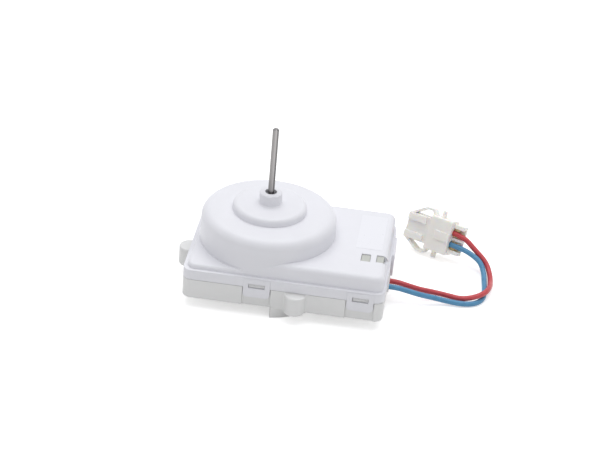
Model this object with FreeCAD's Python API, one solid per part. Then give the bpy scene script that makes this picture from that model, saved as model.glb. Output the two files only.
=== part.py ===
"""Sealed flat fan motor: an outer-rotor motor in a two-part snapped housing, with two leads and a plug.

Millimetres, +Z up along the shaft. The origin is on the shaft's axis, in the plane that the feet stand on.
+X runs along the housing towards the leads, and -Y is the side with the round lug.
"""
import FreeCAD
import Part
import math
import os

# Heights of the housing, from the plane the feet stand on
foot_height = 5.0
tray_height = 10.5
skirt_height = 5.3
low_deck_rise = 2.5
high_deck_rise = 8.2
drum_rise = 19.5
disc_rise = 3.9
collar_rise = 6.1

# Outline of the housing
body_right = 62.5
body_half_depth = 35.4
body_left_of_drum = 1.18
corner_radius = 4.5
ledge_width = 1.9
ledge_width_end = 1.1
deck_corner_radius = 4.0
tray_edge_radius = 0.8
high_deck_edge_radius = 3.0
low_deck_edge_radius = 1.6
drum_proud = 0.12
drum_edge_radius = 5.0
disc_radius = 18.3
disc_edge_radius = 2.2
collar_radius = 5.6
collar_foot_radius = 0.9
collar_chamfer = 0.4
collar_bore_radius = 2.9

# Walls and the joint between the two halves
cover_wall = 1.8
tray_wall = 2.8
tray_floor = 2.0
lip_height = 2.6
lip_clearance = 0.1
seam_chamfer = 0.3

# Snap tongues of the cover, and the hooks of the tray that they catch
snap_middle = 0.2
snap_from_end = 11.5
tongue_proud = 0.2
tongue_width = 13.2
tongue_length = 5.2
tongue_thickness = 1.1
tongue_corner = 2.0
tongue_below_ledge = 0.6
pocket_side_gap = 0.4
pocket_back_gap = 0.1
window_width = 8.0
window_below_seam = 0.3
window_above_seam = 2.2
window_margin = 1.0
blind_window_skin = 0.45
hook_clearance = 0.15
hook_reach = 1.3
hook_ramp = 0.8
end_tongue_place = 14.0
end_tongue_width = 18.0
end_tongue_proud = 1.2
end_tongue_length = 8.0

# Lugs on the tray's front and left walls
front_lug_x = 19.4
front_lug_radius = 5.1
left_lug_y = -2.0
left_lug_radius = 5.3
left_lug_offset = 1.8
lug_below_seam = 0.5
lug_root_radius = 1.0
lug_edge_radius = 0.7

# Locating ribs and the bearing boss under the tray
rib_outside_wall = 1.1
rib_thickness = 2.0
rib_spans = ((-78.0, -36.0), (36.0, 78.0), (163.0, 197.0))
rib_root = 1.2
boss_radius = 9.0
boss_floor = 1.6

# Windows in the deck, closed by the tray's two posts: distances from the raised part's end and the leads
deck_window_sizes = ((4.6, 7.0), (5.0, 6.8))
deck_window_insets = (10.8, 3.1)
deck_window_gaps = (5.2, 4.9)
deck_notch_inset = 0.2
deck_notch_gap = 5.1
deck_notch_size = (2.4, 1.6)
post_clearance = 0.15
post_below_deck = 0.5

# Shaft: the free end is a little thicker than the journal below it
shaft_radius = 3.17 / 2
shaft_tip = 85.0
shaft_chamfer = 0.5
journal_radius = 1.4
clip_groove_depth = 0.3

# Bearings
washer_thickness = 1.0
shaft_end_gap = 0.05
clip_thickness = 0.5
clip_radius = 2.7
clip_gap = 0.8
clip_opening = 1.2
bush_radius = 3.5
bush_length = 6.0
bush_chamfer = 0.3
bush_running_gap = 0.02
bush_to_clip = 0.2
tube_radius = 4.8
tube_lead_in = 0.5
tube_seat_height = 2.5
tube_seat_radius = 7.2
spacer_radius = 3.0
spacer_thickness = 0.8
spacer_gap = 0.1

# Rotor
hub_radius = 5.2
hub_flange_radius = 7.0
hub_flange_thickness = 2.2
hub_height = 4.8
hub_spigot_radius = 4.4
hub_spigot_height = 2.4
rotor_clearance = 1.62
rotor_top_gap = 1.12
cup_wall = 1.2
cup_edge_radius = 3.0
cup_above_board = 5.9
cup_hole_radius = 2.6
cup_hole_circle = 17.0
cup_hole_count = 6
magnet_thickness = 2.7
magnet_above_rim = 0.5
magnet_below_top = 4.2
air_gap = 0.5

# Stator
tooth_count = 9
core_above_magnet = 2.0
core_stack = 8.0
yoke_radius = 9.5
tooth_width = 3.4
tooth_tip = 1.7
tooth_tip_span = 33.0
liner = 0.5
end_liner = 0.9
liner_hole_radius = 6.0
flange_thickness = 0.8
flange_width = 7.0
flange_rise = 2.2
former_foot_width = 1.4
coil_thickness = 1.4
coil_start = 12.4
coil_rounding = 1.26
former_margin = 10.0

# Circuit board
board_thickness = 1.6
board_rise = 3.0
board_left_gap = 2.9
board_right_gap = 1.5
board_side_gap = 2.6
board_corner = 5.0
board_hole_radius = 7.8
board_notch_margin = 1.4
standoff_radius = 2.6
standoff_left_inset = (6.0, 6.5)
standoff_right_inset = (5.2, 4.0)
standoff_post_gap = 0.4
screw_radius = 1.1
screw_head_radius = 2.1
screw_head_height = 1.3
screw_length = 2.4
screw_slot_width = 0.5
screw_slot_depth = 0.6
screw_head_round = 0.4
hold_down_insets = ((28.2, 4.0), (2.7, 20.5))
hold_down_radius = 1.6

# Parts on the board: insets are from its right edge and from its nearer long edge
capacitor_inset = (11.2, 17.0)
capacitor_radius = 4.0
capacitor_height = 11.5
capacitor_groove = 0.4
choke_inset = (18.7, 10.0)
choke_radius = 3.2
choke_height = 8.0
choke_flange = 1.0
choke_winding_inset = 0.7
driver_inset = (20.2, 13.0)
driver_size = (5.0, 4.4, 1.3)
driver_foot = 0.9
driver_pin_width = 0.5
driver_pin_pitch = 1.27
driver_pins_per_side = 4
hall_angle = -20.0
hall_size = (1.5, 4.0)
hall_below_rim = 1.3

# Lead exit
lead_radius = 1.35
lead_height = 9.0
red_lead_y = -1.4
blue_lead_y = -6.8
grommet_half_height = 2.1
grommet_flange = 0.6
grommet_flange_rim = 0.8
grommet_inner_height = 5.0
solder_block_from_end = 15.5
solder_block_length = 6.0
solder_block_height = 6.4
solder_block_rim = 2.6
solder_hole_depth = 2.5
solder_pin_radius = 0.8
solder_pin_depth = 1.5
solder_pin_inset = 2.0

# Label
label_width = 13.0
label_from_end = 3.6
label_from_side = 7.3
label_from_window = 5.0
label_thickness = 0.1
label_corner_radius = 0.6

# Plug at the leads' far end, in its own frame: x towards the mating end, y down its face, z out of its face
plug_place = (91.1, 43.6)
plug_heading = 155.8
plug_width = 17.9
plug_thickness = 8.4
plug_body_length = 12.5
plug_pitch = 6.2
plug_edge_radius = 0.6
plug_hood_width = 13.8
plug_hood_thickness = 6.0
plug_hood_length = 12.8
plug_hood_inset = 0.8
plug_rail_width = 3.5
plug_rail_height = 1.1
plug_rail_root = 1.0
plug_rail_inset = 0.4
plug_rail_gap = 2.4
plug_socket_width = 4.2
plug_socket_height = 4.4
plug_socket_depth = 8.0
plug_trough_length = 5.6
plug_trough_inset = 1.3
plug_trough_wall = 1.9
plug_trough_floor = 1.6
plug_trough_top = 1.2
plug_divider = 1.4
plug_pad_length = 8.4
plug_pad_width = 4.6
plug_pad_rise = 0.5
plug_cavity_gap = 0.5
plug_cavity_depth = 6.0
peg_radius = 1.3
peg_reach = 3.5
peg_place = 7.4
ear_reach = 3.0
ear_width = 5.0
ear_thickness = 1.2
ear_start = 10.9
ear_flat_start = 12.8
ear_flat_end = 16.8
ear_end_margin = 0.4
ear_bend_radius = 1.6
contact_radius = 1.0
contact_inset = 2.0
crimp_wall = 0.3
crimp_start = 0.6
crimp_length = 3.9
saddle_length = 3.2
saddle_drop = 0.2
saddle_wing_thickness = 0.4
saddle_wing_gap = 0.05
lead_entry = 2.2
lead_last_run = 8.0

# Heights that follow from the sizes above
tray_bottom = foot_height
floor_top = tray_bottom + tray_floor
seam = tray_bottom + tray_height
ledge = seam + skirt_height
low_deck = ledge + low_deck_rise
high_deck = ledge + high_deck_rise
drum_top = ledge + drum_rise
disc_top = drum_top + disc_rise
collar_top = disc_top + collar_rise
lug_top = seam - lug_below_seam

# Outline of the raised part of the cover, inside the ledge
raised_right = body_right - ledge_width_end
raised_half_depth = body_half_depth - ledge_width
drum_radius = raised_half_depth + drum_proud
raised_left = -(drum_radius + body_left_of_drum)
body_left = raised_left - ledge_width
rib_radius = body_half_depth + rib_outside_wall
snap_places = (snap_middle, body_right - snap_from_end)

# The deck's windows, in front of the leads, and the label behind them
deck_windows = []
for size, inset, gap in zip(deck_window_sizes, deck_window_insets, deck_window_gaps):
    deck_windows.append((raised_right - inset, blue_lead_y - gap - size[1] / 2) + size)
deck_notch_y = blue_lead_y - deck_notch_gap - deck_notch_size[1] / 2
deck_notch = (raised_right - deck_notch_inset, deck_notch_y) + deck_notch_size
windows_front = min(y - depth / 2 for x, y, length, depth in deck_windows)
label_left = raised_right - label_from_end - label_width
label_front = blue_lead_y - deck_window_gaps[0] + label_from_window
label_back = raised_half_depth - label_from_side

# Circuit board and what stands on it
board_bottom = floor_top + board_rise
board_top = board_bottom + board_thickness
board_left = body_left + tray_wall + board_left_gap
board_right = body_right - tray_wall - board_right_gap
board_half_depth = body_half_depth - tray_wall - board_side_gap
left_standoff = (board_left + standoff_left_inset[0], board_half_depth - standoff_left_inset[1])
clear_of_posts = standoff_radius + standoff_post_gap - windows_front
right_standoff = (board_right - standoff_right_inset[0],
                  max(board_half_depth - standoff_right_inset[1], clear_of_posts))
standoff_places = []
for x, side in (left_standoff, right_standoff):
    standoff_places += [(x, side), (x, -side)]
hold_down_places = [(board_right - x, board_half_depth - y) for x, y in hold_down_insets]

# Rotor, from the drum inwards and from the board up
cup_radius = drum_radius - cover_wall - rotor_clearance
cup_inside = cup_radius - cup_wall
core_radius = cup_inside - magnet_thickness - air_gap
cup_top = drum_top - cover_wall - rotor_top_gap
cup_under = cup_top - cup_wall
cup_bottom = board_top + cup_above_board
magnet_bottom = cup_bottom + magnet_above_rim
magnet_top = cup_under - magnet_below_top
core_bottom = magnet_bottom + core_above_magnet
core_top = core_bottom + core_stack
core_middle = core_bottom + core_stack / 2
hub_bottom = cup_under - hub_height

# Bearing stack
shaft_bottom = boss_floor + washer_thickness + shaft_end_gap
clip_bottom = shaft_bottom + clip_gap
lower_bush_bottom = clip_bottom + clip_thickness + bush_to_clip
spacer_bottom = hub_bottom - spacer_thickness
upper_bush_top = spacer_bottom - spacer_gap
tube_top = upper_bush_top + tube_lead_in

# Lead exit and its grommet
lead_middle_y = (red_lead_y + blue_lead_y) / 2
grommet_half_width = abs(red_lead_y - blue_lead_y) / 2 + grommet_half_height
wall_inside_x = body_right - tray_wall
lead_start_x = body_right + grommet_flange
solder_block_front = body_right - solder_block_from_end
solder_block_back = solder_block_front - solder_block_length

# Control points of the leads, from the grommet to the plug: the first and last follow from their seats
red_route = (
    (66.8, red_lead_y, lead_height), (72.0, -1.4, 8.2), (78.6, -0.2, 6.0), (86.2, 2.0, 3.8), (93.6, 2.6, 2.4),
    (100.0, 1.2, 2.4), (106.4, 1.8, 4.2), (111.4, 6.4, 4.8), (113.2, 14.2, 3.4), (113.4, 22.2, 1.6),
    (112.8, 29.4, 1.8), (110.2, 35.6, 5.2), (103.4, 39.4, 9.8),
)
blue_route = (
    (66.8, blue_lead_y, lead_height), (72.0, -7.8, 8.0), (78.6, -7.0, 6.0), (85.8, -4.8, 3.8),
    (93.0, -3.2, 2.0),
    (101.0, -2.2, 1.6), (107.2, 0.4, 1.4), (110.6, 5.8, 1.4), (110.8, 13.6, 1.4), (110.2, 22.0, 1.4),
    (109.6, 29.2, 2.4), (107.2, 34.0, 6.0), (101.4, 37.2, 8.4),
)


def vector(x, y, z):
    return FreeCAD.Vector(x, y, z)


def box(x0, x1, y0, y1, z0, z1):
    return Part.makeBox(x1 - x0, y1 - y0, z1 - z0, vector(x0, y0, z0))


def rod(radius, z0, z1, x=0.0, y=0.0):
    return Part.makeCylinder(radius, z1 - z0, vector(x, y, z0), vector(0, 0, 1))


def rod_along_x(radius, x0, x1, y, z):
    return Part.makeCylinder(radius, x1 - x0, vector(x0, y, z), vector(1, 0, 0))


def ring(outer, inner, z0, z1):
    return rod(outer, z0, z1).cut(rod(inner, z0 - 1, z1 + 1))


def sector(outer, inner, z0, z1, start, end):
    """A stretch of a ring between two angles, in degrees."""
    piece = Part.makeCylinder(outer, z1 - z0, vector(0, 0, z0), vector(0, 0, 1), end - start)
    piece = piece.cut(rod(inner, z0 - 1, z1 + 1))
    piece.rotate(vector(0, 0, 0), vector(0, 0, 1), start)
    return piece


def outline(x0, x1, y0, y1, radius, z):
    """A rectangle with round corners, as a closed wire at height z."""
    corners = (
        (x1 - radius, y0 + radius, -90), (x1 - radius, y1 - radius, 0),
        (x0 + radius, y1 - radius, 90), (x0 + radius, y0 + radius, 180),
    )
    arcs = []
    for cx, cy, start in corners:
        circle = Part.Circle(vector(cx, cy, z), vector(0, 0, 1), radius)
        arcs.append(Part.Arc(circle, math.radians(start), math.radians(start + 90)).toShape())
    edges = []
    for here, after in zip(arcs, arcs[1:] + arcs[:1]):
        edges.append(here)
        edges.append(Part.LineSegment(here.Vertexes[-1].Point, after.Vertexes[0].Point).toShape())
    return Part.Wire(edges)


def plate(x0, x1, y0, y1, z0, z1, radius):
    """A plate with round corners."""
    return Part.Face(outline(x0, x1, y0, y1, radius, z0)).extrude(vector(0, 0, z1 - z0))


def edges_at(shape, z):
    """Edges that lie wholly in the plane at height z."""
    return [edge for edge in shape.Edges
            if abs(edge.BoundBox.ZMin - z) < 1e-4 and abs(edge.BoundBox.ZMax - z) < 1e-4]


def turned(edges):
    """A solid of revolution about the shaft's axis, from a closed list of edges in the XZ plane."""
    return Part.Face(Part.Wire(edges)).revolve(vector(0, 0, 0), vector(0, 0, 1), 360)


def profile(*steps):
    """Edges through points (r, z). A third value makes an arc to that point, which bulges by the value."""
    edges = []
    for here, after in zip(steps, steps[1:] + steps[:1]):
        start = vector(here[0], 0, here[1])
        end = vector(after[0], 0, after[1])
        if len(after) == 3:
            edges.append(Part.Arc(start, vector(after[2][0], 0, after[2][1]), end).toShape())
        else:
            edges.append(Part.LineSegment(start, end).toShape())
    return edges


def round_middle(cx, cz, radius, angle):
    """The middle point of a quarter arc about (cx, cz)."""
    return (cx + radius * math.cos(math.radians(angle)), cz + radius * math.sin(math.radians(angle)))


def on_wall(shape, wall, place):
    """Moves a shape drawn with x along the wall and y outwards to its place on one of the walls."""
    turn, spot = {
        "back": (0, vector(place, body_half_depth, 0)),
        "front": (180, vector(place, -body_half_depth, 0)),
        "end": (-90, vector(body_right, place, 0)),
    }[wall]
    moved = shape.copy()
    moved.rotate(vector(0, 0, 0), vector(0, 0, 1), turn)
    moved.translate(spot)
    return moved


def snaps():
    """Each snap: wall, place on the wall, width, how far it stands proud, and its length below the seam."""
    found = []
    for wall in ("front", "back"):
        for place in snap_places:
            found.append((wall, place, tongue_width, tongue_proud, tongue_length))
    found.append(("end", end_tongue_place, end_tongue_width, end_tongue_proud, end_tongue_length))
    return found


def tongue(width, proud, length):
    """A tongue hanging from the skirt, with round lower corners."""
    blank = box(-width / 2, width / 2, -tongue_thickness, proud, seam - length, ledge - tongue_below_ledge)
    corners = [
        edge for edge in blank.Edges
        if abs(edge.BoundBox.ZMax - (seam - length)) < 1e-4 and edge.BoundBox.XLength < 1e-4
    ]
    return blank.makeFillet(tongue_corner, corners)


def window(wall):
    """The opening that a hook catches in. The end wall's is blind, so that it doesn't show outside."""
    outward = -blind_window_skin if wall == "end" else tongue_proud + window_margin
    return box(-window_width / 2, window_width / 2, -tray_wall, outward,
               seam - window_below_seam, seam + window_above_seam)


def pocket(width):
    half = width / 2 + pocket_side_gap
    return box(-half, half, -tongue_thickness - pocket_back_gap, 1, tray_bottom - 1, seam)


def hook():
    """The tray's catch, which reaches into the window and slopes back at its top."""
    back = -(cover_wall + lip_clearance)
    low = seam - window_below_seam + hook_clearance
    high = seam + window_above_seam - hook_clearance
    half = window_width / 2 - hook_clearance
    points = (
        (back, low), (back + hook_reach, low), (back + hook_reach, low + hook_ramp),
        (back + hook_reach / 3, high),
        (back, high),
    )
    wire = Part.makePolygon([vector(-half, y, z) for y, z in points + points[:1]])
    return Part.Face(wire).extrude(vector(2 * half, 0, 0))


def deck_block(left, right, half_depth, corner, bottom, top, edge_radius):
    block = plate(left, right, -half_depth, half_depth, bottom, top, corner)
    return block.makeFillet(edge_radius, edges_at(block, top))


def drum_outside():
    """Drum, raised disc and shaft collar as one turned form."""
    r0, r1 = drum_radius, drum_edge_radius
    c, f, k = collar_radius, collar_foot_radius, collar_chamfer
    return turned(profile(
        (0, ledge),
        (r0, ledge),
        (r0, drum_top - r1),
        (r0 - r1, drum_top, round_middle(r0 - r1, drum_top - r1, r1, 45)),
        (disc_radius, drum_top),
        (disc_radius, disc_top - disc_edge_radius),
        (disc_radius - disc_edge_radius, disc_top,
         round_middle(disc_radius - disc_edge_radius, disc_top - disc_edge_radius, disc_edge_radius, 45)),
        (c + f, disc_top),
        (c, disc_top + f, round_middle(c + f, disc_top + f, f, 225)),
        (c, collar_top - k),
        (c - k, collar_top),
        (0, collar_top),
    ))


def drum_inside():
    r0 = drum_radius - cover_wall
    r1 = drum_edge_radius - cover_wall
    top = drum_top - cover_wall
    return turned(profile(
        (0, ledge - 2 * cover_wall),
        (r0, ledge - 2 * cover_wall),
        (r0, top - r1),
        (r0 - r1, top, round_middle(r0 - r1, top - r1, r1, 45)),
        (disc_radius - cover_wall, top),
        (disc_radius - cover_wall, disc_top - cover_wall),
        (0, disc_top - cover_wall),
    ))


def top_cover():
    """Upper shell: skirt with snap tongues, two decks, drum, raised disc and shaft collar."""
    depth = raised_half_depth
    skirt = plate(body_left, body_right, -body_half_depth, body_half_depth, seam, ledge, corner_radius)
    skirt = skirt.makeChamfer(seam_chamfer, edges_at(skirt, seam))
    low = deck_block(raised_left, raised_right, depth, deck_corner_radius, ledge - 1, low_deck,
                     low_deck_edge_radius)
    high = deck_block(raised_left, raised_right, depth, deck_corner_radius, ledge - 1, high_deck,
                      high_deck_edge_radius)
    high = high.cut(box(raised_left - 1, 0, -depth - 1, depth + 1, ledge - 2, high_deck + 1))
    shell = skirt.fuse([low, high, drum_outside()])
    for wall, place, width, proud, length in snaps():
        shell = shell.fuse(on_wall(tongue(width, proud, length), wall, place))

    w = cover_wall
    skirt_void = plate(body_left + w, body_right - w, -body_half_depth + w, body_half_depth - w,
                       seam - 1, ledge - w, corner_radius - w)
    inner = (raised_left + w, raised_right - w, -depth + w, depth - w)
    low_void = plate(*inner, ledge - 2 * w, low_deck - w, deck_corner_radius - w)
    high_void = plate(0, inner[1], inner[2], inner[3], ledge - 2 * w, high_deck - w, deck_corner_radius - w)
    shaft_hole = rod(collar_bore_radius, disc_top - 2 * w, collar_top + 1)
    hollow = skirt_void.fuse([low_void, high_void, drum_inside(), shaft_hole])
    hollow = hollow.cut(box(body_left, body_right + 5, -body_half_depth, body_half_depth, tray_bottom, seam))
    shell = shell.cut(hollow)

    for x, y in hold_down_places:
        shell = shell.fuse(rod(hold_down_radius, board_top, high_deck - w / 2, x, y))
    for wall, place, width, proud, length in snaps():
        shell = shell.cut(on_wall(window(wall), wall, place))
    for x, y, length, depth in deck_windows + [deck_notch]:
        shell = shell.cut(box(x - length / 2, x + length / 2, y - depth / 2, y + depth / 2,
                              high_deck - high_deck_edge_radius, high_deck + 1))
    return shell.removeSplitter()


def lug(radius, offset):
    """A half-round lug with hollow roots and soft edges. x runs along the wall, y outwards from its face."""
    root = lug_root_radius
    reach = radius + root
    side = math.sqrt(reach ** 2 - (root - offset) ** 2)
    touch_x = side * radius / reach
    touch_y = offset + (root - offset) * radius / reach
    lean = math.atan2(root - offset, side) / 2 + math.pi / 4
    root_x = side - root * math.sin(lean)
    root_y = root - root * math.cos(lean)
    z = tray_bottom
    right = Part.Arc(vector(side, 0, z), vector(root_x, root_y, z), vector(touch_x, touch_y, z))
    nose = Part.Arc(vector(touch_x, touch_y, z), vector(0, offset + radius, z), vector(-touch_x, touch_y, z))
    left = Part.Arc(vector(-touch_x, touch_y, z), vector(-root_x, root_y, z), vector(-side, 0, z))
    back = Part.makePolygon([vector(x, y, z) for x, y in ((-side, 0), (-side, -1), (side, -1), (side, 0))])
    wire = Part.Wire([right.toShape(), nose.toShape(), left.toShape()] + back.Edges)
    body = Part.Face(wire).extrude(vector(0, 0, lug_top - z))
    rims = [edge for edge in edges_at(body, lug_top) + edges_at(body, z)
            if edge.BoundBox.YMin > touch_y - 1e-3]
    return body.makeFillet(lug_edge_radius, rims)


def lugs():
    """Half-round lugs on the tray's front and left walls."""
    left = lug(left_lug_radius, left_lug_offset)
    left.rotate(vector(0, 0, 0), vector(0, 0, 1), 90)
    left.translate(vector(body_left, left_lug_y, 0))
    return [on_wall(lug(front_lug_radius, 0.0), "front", front_lug_x), left]


def obround(half_width, half_height, x0, x1, y, z):
    """A bar along x whose section is a slot shape, wide in y."""
    reach = half_width - half_height
    middle = box(x0, x1, y - reach, y + reach, z - half_height, z + half_height)
    ends = [rod_along_x(half_height, x0, x1, y - reach, z), rod_along_x(half_height, x0, x1, y + reach, z)]
    return middle.fuse(ends)


def base_tray():
    """Lower shell: floor, walls with pockets and hooks, lugs, locating ribs and the bearing boss."""
    t = tray_wall
    tray = plate(body_left, body_right, -body_half_depth, body_half_depth, tray_bottom, seam, corner_radius)
    tray = tray.makeFillet(tray_edge_radius, edges_at(tray, tray_bottom))
    tray = tray.fuse(lugs())
    lip_inset = cover_wall + lip_clearance
    lip = plate(body_left + lip_inset, body_right - lip_inset, -body_half_depth + lip_inset,
                body_half_depth - lip_inset, seam - 1, seam + lip_height, corner_radius - lip_inset)
    tray = tray.fuse(lip)
    tray = tray.cut(plate(body_left + t, body_right - t, -body_half_depth + t, body_half_depth - t,
                          floor_top, seam + lip_height + 1, corner_radius - t))

    for wall, place, width, proud, length in snaps():
        tray = tray.cut(on_wall(pocket(width), wall, place))
        tray = tray.fuse(on_wall(hook(), wall, place))
    for start, end in rib_spans:
        rib = sector(rib_radius, rib_radius - rib_thickness, 0, tray_bottom + rib_root, start, end)
        tray = tray.fuse(rib)
    tray = tray.fuse([rod(boss_radius, 0, tray_bottom + 1), rod(tube_seat_radius, floor_top - 1,
                                                                floor_top + tube_seat_height)])
    tray = tray.cut(rod(tube_radius, boss_floor, floor_top + tube_seat_height + 1))

    for x, y in standoff_places:
        tray = tray.fuse(rod(standoff_radius, floor_top - 1, board_bottom, x, y))
        screw_bottom = board_bottom - screw_length + board_thickness
        tray = tray.cut(rod(screw_radius, screw_bottom, board_bottom + 1, x, y))
    for x, y, length, depth in deck_windows:
        half_x, half_y = length / 2 - post_clearance, depth / 2 - post_clearance
        right = min(x + half_x, raised_right - cover_wall - post_clearance)
        post_top = high_deck - post_below_deck
        tray = tray.fuse(box(x - half_x, right, y - half_y, y + half_y, floor_top - 1, post_top))
    tray = tray.cut(obround(grommet_half_width, grommet_half_height, wall_inside_x - 1, body_right + 1,
                            lead_middle_y, lead_height))
    return tray.removeSplitter()


def grommet():
    """Moulded bush that holds both leads in the tray's end wall."""
    core = obround(grommet_half_width, grommet_half_height, wall_inside_x - grommet_flange, body_right,
                   lead_middle_y, lead_height)
    outer = obround(grommet_half_width + grommet_flange_rim, grommet_half_height + grommet_flange_rim,
                    body_right, lead_start_x, lead_middle_y, lead_height)
    reach = grommet_half_width + grommet_flange_rim
    inner = box(wall_inside_x - grommet_flange, wall_inside_x, lead_middle_y - reach, lead_middle_y + reach,
                floor_top, floor_top + grommet_inner_height)
    core = core.common(box(0, body_right + 1, -body_half_depth, body_half_depth, floor_top, seam)).fuse(
        core.common(box(wall_inside_x, body_right + 1, -body_half_depth, body_half_depth, 0, seam)))
    piece = core.fuse([outer, inner])
    for y in (red_lead_y, blue_lead_y):
        piece = piece.cut(rod_along_x(lead_radius, wall_inside_x - tray_wall, lead_start_x + 1,
                                      y, lead_height))
    return piece.removeSplitter()


def lead_tail(y):
    """A lead's end inside the housing, from the solder block to the grommet's outer face."""
    return rod_along_x(lead_radius, solder_block_front - solder_hole_depth, lead_start_x, y, lead_height)


def red_lead_tail():
    return lead_tail(red_lead_y)


def blue_lead_tail():
    return lead_tail(blue_lead_y)


def solder_block():
    """Block at the board's edge that the leads' ends go into."""
    y0 = blue_lead_y - solder_block_rim
    y1 = red_lead_y + solder_block_rim
    block_top = floor_top + solder_block_height
    block = box(solder_block_back, solder_block_front, y0, y1, floor_top, block_top)
    hole_end = solder_block_front - solder_hole_depth
    pin_x = solder_block_back + solder_pin_inset
    for y in (red_lead_y, blue_lead_y):
        block = block.cut(rod_along_x(lead_radius, hole_end, solder_block_front + 1, y, lead_height))
        block = block.cut(rod(solder_pin_radius, block_top - solder_pin_depth, block_top + 1, pin_x, y))
    return block


def shaft():
    clip_groove = journal_radius - clip_groove_depth
    clip_top = clip_bottom + clip_thickness
    return turned(profile(
        (0, shaft_bottom),
        (journal_radius - shaft_chamfer, shaft_bottom),
        (journal_radius, shaft_bottom + shaft_chamfer),
        (journal_radius, clip_bottom),
        (clip_groove, clip_bottom),
        (clip_groove, clip_top),
        (journal_radius, clip_top),
        (journal_radius, collar_top),
        (shaft_radius, collar_top),
        (shaft_radius, shaft_tip - shaft_chamfer),
        (shaft_radius - shaft_chamfer, shaft_tip),
        (0, shaft_tip),
    ))


def thrust_washer():
    return rod(bush_radius, boss_floor, boss_floor + washer_thickness)


def retaining_clip():
    """Open ring in the shaft's lower groove."""
    clip = ring(clip_radius, journal_radius - clip_groove_depth, clip_bottom, clip_bottom + clip_thickness)
    return clip.cut(box(0, clip_radius + 1, -clip_opening / 2, clip_opening / 2,
                        clip_bottom - 1, clip_bottom + clip_thickness + 1))


def bush(bottom):
    """Sintered bush with chamfered bore mouths."""
    bore = journal_radius + bush_running_gap
    top = bottom + bush_length
    c = bush_chamfer
    return turned(profile(
        (bore, bottom + c), (bore + c, bottom), (bush_radius - c, bottom), (bush_radius, bottom + c),
        (bush_radius, top - c), (bush_radius - c, top), (bore + c, top), (bore, top - c),
    ))


def bearing_tube():
    return ring(tube_radius, bush_radius, boss_floor, tube_top)


def spacer_washer():
    return ring(spacer_radius, journal_radius, spacer_bottom, hub_bottom)


def rotor_hub():
    """Brass hub pressed on the shaft, with a flange and a spigot for the cup."""
    flange = cup_under - hub_flange_thickness
    return turned(profile(
        (journal_radius, hub_bottom), (hub_radius, hub_bottom), (hub_radius, flange),
        (hub_flange_radius, flange),
        (hub_flange_radius, cup_under), (hub_spigot_radius, cup_under),
        (hub_spigot_radius, cup_under + hub_spigot_height), (journal_radius, cup_under + hub_spigot_height),
    ))


def rotor_cup():
    """Drawn steel cup with a ring of holes in its top."""
    r, e = cup_radius, cup_edge_radius
    inner = cup_inside
    cup = turned(profile(
        (hub_spigot_radius, cup_top),
        (hub_spigot_radius, cup_under),
        (inner - e + cup_wall, cup_under),
        (inner, cup_under - e + cup_wall, round_middle(inner - e + cup_wall, cup_under - e + cup_wall,
                                                       e - cup_wall, 45)),
        (inner, cup_bottom),
        (r, cup_bottom),
        (r, cup_top - e),
        (r - e, cup_top, round_middle(r - e, cup_top - e, e, 45)),
    ))
    for i in range(cup_hole_count):
        angle = 2 * math.pi * i / cup_hole_count
        cup = cup.cut(rod(cup_hole_radius, cup_under - 1, cup_top + 1,
                          cup_hole_circle * math.cos(angle), cup_hole_circle * math.sin(angle)))
    return cup


def ring_magnet():
    return ring(cup_inside, cup_inside - magnet_thickness, magnet_bottom, magnet_top)


def around(shape, count):
    """Copies of a shape turned about the shaft's axis in equal steps."""
    copies = []
    for i in range(count):
        copy = shape.copy()
        copy.rotate(vector(0, 0, 0), vector(0, 0, 1), 360.0 * i / count)
        copies.append(copy)
    return copies


def star(width, reach, yoke, z0, z1):
    """A round yoke with straight arms."""
    arm = box(0, reach, -width / 2, width / 2, z0, z1)
    return rod(yoke, z0, z1).fuse(around(arm, tooth_count))


def stator_core():
    """Laminated stack with T-shaped teeth."""
    inner = core_radius - tooth_tip
    core = star(tooth_width, inner + tooth_tip / 2, yoke_radius, core_bottom, core_top)
    tip = sector(core_radius, inner, core_bottom, core_top, -tooth_tip_span / 2, tooth_tip_span / 2)
    core = core.fuse(around(tip, tooth_count))
    return core.cut(rod(tube_radius, core_bottom - 1, core_top + 1)).removeSplitter()


def insulator(z0, z1, flange_end):
    """Half of the winding former: a liner round every tooth, with a flange at the tip."""
    reach = core_radius - tooth_tip
    former = star(tooth_width + 2 * liner, reach, yoke_radius + liner, z0, z1)
    low, high = min(z0, flange_end), max(z1, flange_end)
    flange = box(reach - flange_thickness, reach, -flange_width / 2, flange_width / 2, low, high)
    former = former.fuse(around(flange, tooth_count))
    former = former.common(rod(reach, z0 - former_margin, z1 + former_margin))
    former = former.cut(star(tooth_width, core_radius, yoke_radius, core_bottom, core_top))
    return former.cut(rod(liner_hole_radius, z0 - former_margin, z1 + former_margin))


def upper_insulator():
    top = core_top + end_liner
    return insulator(core_middle, top, top + flange_rise).removeSplitter()


def lower_insulator():
    """Lower former, with the foot ring that stands on the board."""
    bottom = core_bottom - end_liner
    foot = ring(board_hole_radius + former_foot_width, liner_hole_radius, board_top, bottom + end_liner / 2)
    former = insulator(bottom, core_middle, bottom - flange_rise).fuse(foot)
    return former.removeSplitter()


def stator_coils():
    """One closed winding round each tooth."""
    half_width = tooth_width / 2 + liner
    z0 = core_bottom - end_liner
    z1 = core_top + end_liner
    start = coil_start
    end = core_radius - tooth_tip - flange_thickness
    outer = box(start, end, -half_width - coil_thickness, half_width + coil_thickness,
                z0 - coil_thickness, z1 + coil_thickness)
    long_edges = [edge for edge in outer.Edges if edge.BoundBox.XLength > (end - start) / 2]
    outer = outer.makeFillet(coil_rounding, long_edges)
    coil = outer.cut(box(start - 1, end + 1, -half_width, half_width, z0, z1))
    return Part.makeCompound(around(coil, tooth_count))


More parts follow.
